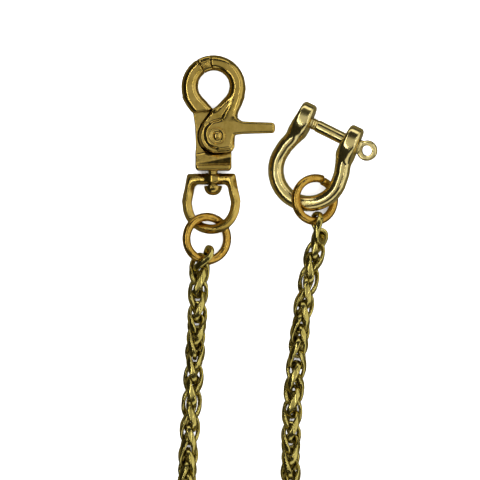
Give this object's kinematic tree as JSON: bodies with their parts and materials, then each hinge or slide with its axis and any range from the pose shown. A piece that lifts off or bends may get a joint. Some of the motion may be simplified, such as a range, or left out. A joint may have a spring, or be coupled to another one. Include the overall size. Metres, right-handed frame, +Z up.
{
  "type": "pocket watch chain",
  "caption": "Wheat-link chain with a sprung trigger snap and its swivel eye at one end, and a bow shackle with a withdrawable eye pin at the other.",
  "frame": {"origin": "on the flat back of the snap, in line with its swivel, at the height along the snap where the square block meets the middle of its face", "axes": "+Y along the snap from the swivel eye towards the hook, +X across the laid strands from the snap towards the shackle, +Z up from the table the chain lies on"},
  "size_m": [0.0521, 0.186, 0.0118],
  "materials": {
    "cast_brass": "worn aged brass, cast and tumbled, dark in the recesses",
    "ring_brass": "polished warm gold-coloured wire",
    "chain_brass": "aged olive brass, diamond-cut facets rubbed bright",
    "spring_steel": "drawn spring wire"
  },
  "bodies": {
    "chain_run_4": {"chain_run_4": "chain_brass"},
    "chain_run_3": {"chain_run_3": "chain_brass"},
    "chain_run_2": {"chain_run_2": "chain_brass"},
    "chain_run_1": {"chain_run_1": "chain_brass"},
    "left_link_20": {"left_link_20": "chain_brass"},
    "left_link_19": {"left_link_19": "chain_brass"},
    "left_link_18": {"left_link_18": "chain_brass"},
    "left_link_17": {"left_link_17": "chain_brass"},
    "left_link_16": {"left_link_16": "chain_brass"},
    "left_link_15": {"left_link_15": "chain_brass"},
    "left_link_14": {"left_link_14": "chain_brass"},
    "left_link_13": {"left_link_13": "chain_brass"},
    "left_link_12": {"left_link_12": "chain_brass"},
    "left_link_11": {"left_link_11": "chain_brass"},
    "left_link_10": {"left_link_10": "chain_brass"},
    "left_link_09": {"left_link_09": "chain_brass"},
    "left_link_08": {"left_link_08": "chain_brass"},
    "left_link_07": {"left_link_07": "chain_brass"},
    "left_link_06": {"left_link_06": "chain_brass"},
    "left_link_05": {"left_link_05": "chain_brass"},
    "left_link_04": {"left_link_04": "chain_brass"},
    "left_link_03": {"left_link_03": "chain_brass"},
    "left_link_02": {"left_link_02": "chain_brass"},
    "left_link_01": {"left_link_01": "chain_brass"},
    "snap_jump_ring": {"snap_jump_ring": "ring_brass"},
    "swivel_eye": {"swivel_eye": "cast_brass"},
    "snap_body": {"snap_body": "cast_brass", "swivel_stud": "cast_brass", "jaw_rivet": "cast_brass", "jaw_spring": "spring_steel"},
    "trigger_jaw": {"trigger_jaw": "cast_brass"},
    "chain_run_5": {"chain_run_5": "chain_brass"},
    "chain_run_6": {"chain_run_6": "chain_brass"},
    "chain_run_7": {"chain_run_7": "chain_brass"},
    "right_link_22": {"right_link_22": "chain_brass"},
    "right_link_21": {"right_link_21": "chain_brass"},
    "right_link_20": {"right_link_20": "chain_brass"},
    "right_link_19": {"right_link_19": "chain_brass"},
    "right_link_18": {"right_link_18": "chain_brass"},
    "right_link_17": {"right_link_17": "chain_brass"},
    "right_link_16": {"right_link_16": "chain_brass"},
    "right_link_15": {"right_link_15": "chain_brass"},
    "right_link_14": {"right_link_14": "chain_brass"},
    "right_link_13": {"right_link_13": "chain_brass"},
    "right_link_12": {"right_link_12": "chain_brass"},
    "right_link_11": {"right_link_11": "chain_brass"},
    "right_link_10": {"right_link_10": "chain_brass"},
    "right_link_09": {"right_link_09": "chain_brass"},
    "right_link_08": {"right_link_08": "chain_brass"},
    "right_link_07": {"right_link_07": "chain_brass"},
    "right_link_06": {"right_link_06": "chain_brass"},
    "right_link_05": {"right_link_05": "chain_brass"},
    "right_link_04": {"right_link_04": "chain_brass"},
    "right_link_03": {"right_link_03": "chain_brass"},
    "right_link_02": {"right_link_02": "chain_brass"},
    "right_link_01": {"right_link_01": "chain_brass"},
    "shackle_jump_ring": {"shackle_jump_ring": "ring_brass"},
    "shackle_bow": {"shackle_bow": "cast_brass"},
    "shackle_pin": {"shackle_pin": "cast_brass"}
  },
  "joints": [
    {"name": "chain_run_3_sway", "type": "hinge", "parent": "chain_run_4", "child": "chain_run_3", "pos_m": [-0.00276, -0.15116, 0.00285], "axis": [0, 0, 1], "range_deg": [0, 8]},
    {"name": "chain_run_2_lift", "type": "hinge", "parent": "chain_run_3", "child": "chain_run_2", "pos_m": [-0.0069, -0.13113, 0.00285], "axis": [-1, 0, 0], "range_deg": [-8, 8]},
    {"name": "chain_run_1_sway", "type": "hinge", "parent": "chain_run_2", "child": "chain_run_1", "pos_m": [-0.0069, -0.10997, 0.00285], "axis": [0, 0, 1], "range_deg": [0, 8]},
    {"name": "left_link_20_lift", "type": "hinge", "parent": "chain_run_1", "child": "left_link_20", "pos_m": [-0.0069, -0.08865, 0.00285], "axis": [-1, 0, 0], "range_deg": [-5.5, 5.5]},
    {"name": "left_link_19_sway", "type": "hinge", "parent": "left_link_20", "child": "left_link_19", "pos_m": [-0.00681, -0.08231, 0.00285], "axis": [0, 0, 1], "range_deg": [0, 5.5]},
    {"name": "left_link_18_lift", "type": "hinge", "parent": "left_link_19", "child": "left_link_18", "pos_m": [-0.00665, -0.07915, 0.00285], "axis": [1, 0, 0], "range_deg": [-5.5, 5.5]},
    {"name": "left_link_17_sway", "type": "hinge", "parent": "left_link_18", "child": "left_link_17", "pos_m": [-0.00648, -0.07599, 0.00285], "axis": [0, 0, 1], "range_deg": [0, 5.5]},
    {"name": "left_link_16_lift", "type": "hinge", "parent": "left_link_17", "child": "left_link_16", "pos_m": [-0.0063, -0.07284, 0.00285], "axis": [-1, 0, 0], "range_deg": [-5.5, 5.5]},
    {"name": "left_link_15_sway", "type": "hinge", "parent": "left_link_16", "child": "left_link_15", "pos_m": [-0.00609, -0.06969, 0.00285], "axis": [0, 0, 1], "range_deg": [0, 5.5]},
    {"name": "left_link_14_lift", "type": "hinge", "parent": "left_link_15", "child": "left_link_14", "pos_m": [-0.00588, -0.06653, 0.00285], "axis": [1, 0, 0], "range_deg": [-5.5, 5.5]},
    {"name": "left_link_13_sway", "type": "hinge", "parent": "left_link_14", "child": "left_link_13", "pos_m": [-0.00566, -0.06338, 0.00285], "axis": [0, 0, 1], "range_deg": [0, 5.5]},
    {"name": "left_link_12_lift", "type": "hinge", "parent": "left_link_13", "child": "left_link_12", "pos_m": [-0.00544, -0.06023, 0.00285], "axis": [-1, 0, 0], "range_deg": [-5.5, 5.5]},
    {"name": "left_link_11_sway", "type": "hinge", "parent": "left_link_12", "child": "left_link_11", "pos_m": [-0.00521, -0.05708, 0.00285], "axis": [0, 0, 1], "range_deg": [0, 5.5]},
    {"name": "left_link_10_lift", "type": "hinge", "parent": "left_link_11", "child": "left_link_10", "pos_m": [-0.005, -0.05393, 0.00285], "axis": [1, 0, 0], "range_deg": [-5.5, 5.5]},
    {"name": "left_link_09_sway", "type": "hinge", "parent": "left_link_10", "child": "left_link_09", "pos_m": [-0.0048, -0.05077, 0.00285], "axis": [0, 0, 1], "range_deg": [0, 5.5]},
    {"name": "left_link_08_lift", "type": "hinge", "parent": "left_link_09", "child": "left_link_08", "pos_m": [-0.00461, -0.04762, 0.00285], "axis": [-1, 0, 0], "range_deg": [-5.5, 5.5]},
    {"name": "left_link_07_sway", "type": "hinge", "parent": "left_link_08", "child": "left_link_07", "pos_m": [-0.00441, -0.04446, 0.00285], "axis": [0, 0, 1], "range_deg": [0, 5.5]},
    {"name": "left_link_06_lift", "type": "hinge", "parent": "left_link_07", "child": "left_link_06", "pos_m": [-0.00421, -0.04131, 0.00285], "axis": [1, 0, 0], "range_deg": [-5.5, 5.5]},
    {"name": "left_link_05_sway", "type": "hinge", "parent": "left_link_06", "child": "left_link_05", "pos_m": [-0.00407, -0.03815, 0.00285], "axis": [0, 0, 1], "range_deg": [0, 5.5]},
    {"name": "left_link_04_lift", "type": "hinge", "parent": "left_link_05", "child": "left_link_04", "pos_m": [-0.00396, -0.035, 0.00285], "axis": [-1, 0, 0], "range_deg": [-5.5, 5.5]},
    {"name": "left_link_03_sway", "type": "hinge", "parent": "left_link_04", "child": "left_link_03", "pos_m": [-0.00376, -0.03184, 0.00285], "axis": [0, 0, 1], "range_deg": [0, 5.5]},
    {"name": "left_link_02_lift", "type": "hinge", "parent": "left_link_03", "child": "left_link_02", "pos_m": [-0.00343, -0.0287, 0.00285], "axis": [1, 0, 0], "range_deg": [-5.5, 5.5]},
    {"name": "left_link_01_sway", "type": "hinge", "parent": "left_link_02", "child": "left_link_01", "pos_m": [-0.0027, -0.02563, 0.00285], "axis": [0, 0, 1], "range_deg": [0, 5.5]},
    {"name": "snap_ring_swing", "type": "hinge", "parent": "left_link_01", "child": "snap_jump_ring", "pos_m": [-0.0016, -0.02478, 0.0032], "axis": [1, 0, 0], "range_deg": [-20, 20]},
    {"name": "swivel_eye_swing", "type": "hinge", "parent": "snap_jump_ring", "child": "swivel_eye", "pos_m": [-0.0005, -0.01585, 0.0023], "axis": [0.9063, 0, 0.4226], "range_deg": [-21, 24]},
    {"name": "snap_swivel", "type": "hinge", "parent": "swivel_eye", "child": "snap_body", "pos_m": [0, -0.00365, 0.0033], "axis": [0, 1, 0], "continuous": true},
    {"name": "trigger", "type": "hinge", "parent": "snap_body", "child": "trigger_jaw", "pos_m": [0.0011, 0.0073, 0.0033], "axis": [0, 0, -1], "range_deg": [0, 35], "stiffness_Nm_per_rad": 0.02, "springref_deg": -34.38},
    {"name": "chain_run_5_sway", "type": "hinge", "parent": "chain_run_4", "child": "chain_run_5", "pos_m": [0.01629, -0.15083, 0.00285], "axis": [0, 0, -1], "range_deg": [0, 8]},
    {"name": "chain_run_6_lift", "type": "hinge", "parent": "chain_run_5", "child": "chain_run_6", "pos_m": [0.0201, -0.13067, 0.00285], "axis": [1, 0, 0], "range_deg": [-8, 8]},
    {"name": "chain_run_7_sway", "type": "hinge", "parent": "chain_run_6", "child": "chain_run_7", "pos_m": [0.0201, -0.1095, 0.00285], "axis": [0, 0, -1], "range_deg": [0, 8]},
    {"name": "right_link_22_lift", "type": "hinge", "parent": "chain_run_7", "child": "right_link_22", "pos_m": [0.0201, -0.08818, 0.00285], "axis": [-1, 0, 0], "range_deg": [-5.5, 5.5]},
    {"name": "right_link_21_sway", "type": "hinge", "parent": "right_link_22", "child": "right_link_21", "pos_m": [0.02009, -0.08184, 0.00285], "axis": [0, 0, -1], "range_deg": [0, 5.5]},
    {"name": "right_link_20_lift", "type": "hinge", "parent": "right_link_21", "child": "right_link_20", "pos_m": [0.02008, -0.07868, 0.00285], "axis": [1, 0, 0], "range_deg": [-5.5, 5.5]},
    {"name": "right_link_19_sway", "type": "hinge", "parent": "right_link_20", "child": "right_link_19", "pos_m": [0.02009, -0.07552, 0.00285], "axis": [0, 0, -1], "range_deg": [0, 5.5]},
    {"name": "right_link_18_lift", "type": "hinge", "parent": "right_link_19", "child": "right_link_18", "pos_m": [0.02014, -0.07236, 0.00285], "axis": [-1, 0, 0], "range_deg": [-5.5, 5.5]},
    {"name": "right_link_17_sway", "type": "hinge", "parent": "right_link_18", "child": "right_link_17", "pos_m": [0.02023, -0.0692, 0.00285], "axis": [0, 0, -1], "range_deg": [0, 5.5]},
    {"name": "right_link_16_lift", "type": "hinge", "parent": "right_link_17", "child": "right_link_16", "pos_m": [0.02036, -0.06604, 0.00285], "axis": [1, 0, 0], "range_deg": [-5.5, 5.5]},
    {"name": "right_link_15_sway", "type": "hinge", "parent": "right_link_16", "child": "right_link_15", "pos_m": [0.02054, -0.06289, 0.00285], "axis": [0, 0, -1], "range_deg": [0, 5.5]},
    {"name": "right_link_14_lift", "type": "hinge", "parent": "right_link_15", "child": "right_link_14", "pos_m": [0.0208, -0.05974, 0.00285], "axis": [-1, 0, 0], "range_deg": [-5.5, 5.5]},
    {"name": "right_link_13_sway", "type": "hinge", "parent": "right_link_14", "child": "right_link_13", "pos_m": [0.02109, -0.05659, 0.00285], "axis": [0, 0, -1], "range_deg": [0, 5.5]},
    {"name": "right_link_12_lift", "type": "hinge", "parent": "right_link_13", "child": "right_link_12", "pos_m": [0.0214, -0.05345, 0.00285], "axis": [1, 0, 0], "range_deg": [-5.5, 5.5]},
    {"name": "right_link_11_sway", "type": "hinge", "parent": "right_link_12", "child": "right_link_11", "pos_m": [0.02171, -0.0503, 0.00285], "axis": [0, 0, -1], "range_deg": [0, 5.5]},
    {"name": "right_link_10_lift", "type": "hinge", "parent": "right_link_11", "child": "right_link_10", "pos_m": [0.02204, -0.04716, 0.00285], "axis": [-1, 0, 0], "range_deg": [-5.5, 5.5]},
    {"name": "right_link_09_sway", "type": "hinge", "parent": "right_link_10", "child": "right_link_09", "pos_m": [0.02241, -0.04402, 0.00285], "axis": [0, 0, -1], "range_deg": [0, 5.5]},
    {"name": "right_link_08_lift", "type": "hinge", "parent": "right_link_09", "child": "right_link_08", "pos_m": [0.02281, -0.04089, 0.00285], "axis": [1, 0, 0], "range_deg": [-5.5, 5.5]},
    {"name": "right_link_07_sway", "type": "hinge", "parent": "right_link_08", "child": "right_link_07", "pos_m": [0.02328, -0.03776, 0.00285], "axis": [0, 0, -1], "range_deg": [0, 5.5]},
    {"name": "right_link_06_lift", "type": "hinge", "parent": "right_link_07", "child": "right_link_06", "pos_m": [0.02379, -0.03464, 0.00285], "axis": [-1, 0, 0], "range_deg": [-5.5, 5.5]},
    {"name": "right_link_05_sway", "type": "hinge", "parent": "right_link_06", "child": "right_link_05", "pos_m": [0.02438, -0.03154, 0.00285], "axis": [0, 0, -1], "range_deg": [0, 5.5]},
    {"name": "right_link_04_lift", "type": "hinge", "parent": "right_link_05", "child": "right_link_04", "pos_m": [0.025, -0.02844, 0.00285], "axis": [1, 0, 0], "range_deg": [-5.5, 5.5]},
    {"name": "right_link_03_sway", "type": "hinge", "parent": "right_link_04", "child": "right_link_03", "pos_m": [0.02569, -0.02536, 0.00285], "axis": [0, 0, -1], "range_deg": [0, 5.5]},
    {"name": "right_link_02_lift", "type": "hinge", "parent": "right_link_03", "child": "right_link_02", "pos_m": [0.02646, -0.02229, 0.00285], "axis": [-1, 0, 0], "range_deg": [-5.5, 5.5]},
    {"name": "right_link_01_sway", "type": "hinge", "parent": "right_link_02", "child": "right_link_01", "pos_m": [0.02691, -0.01917, 0.00285], "axis": [0, 0, -1], "range_deg": [0, 5.5]},
    {"name": "shackle_ring_swing", "type": "hinge", "parent": "right_link_01", "child": "shackle_jump_ring", "pos_m": [0.02684, -0.01459, 0.00321], "axis": [1, 0, 0], "range_deg": [-20, 20]},
    {"name": "shackle_swing", "type": "hinge", "parent": "shackle_jump_ring", "child": "shackle_bow", "pos_m": [0.02635, -0.00911, 0.00292], "axis": [0.8204, 0.1739, 0.5446], "range_deg": [-45, 45]},
    {"name": "pin_withdraw", "type": "slide", "parent": "shackle_bow", "child": "shackle_pin", "axis": [0.8829, -0.4478, 0.1416], "range_m": [0, 0.018]}
  ]
}
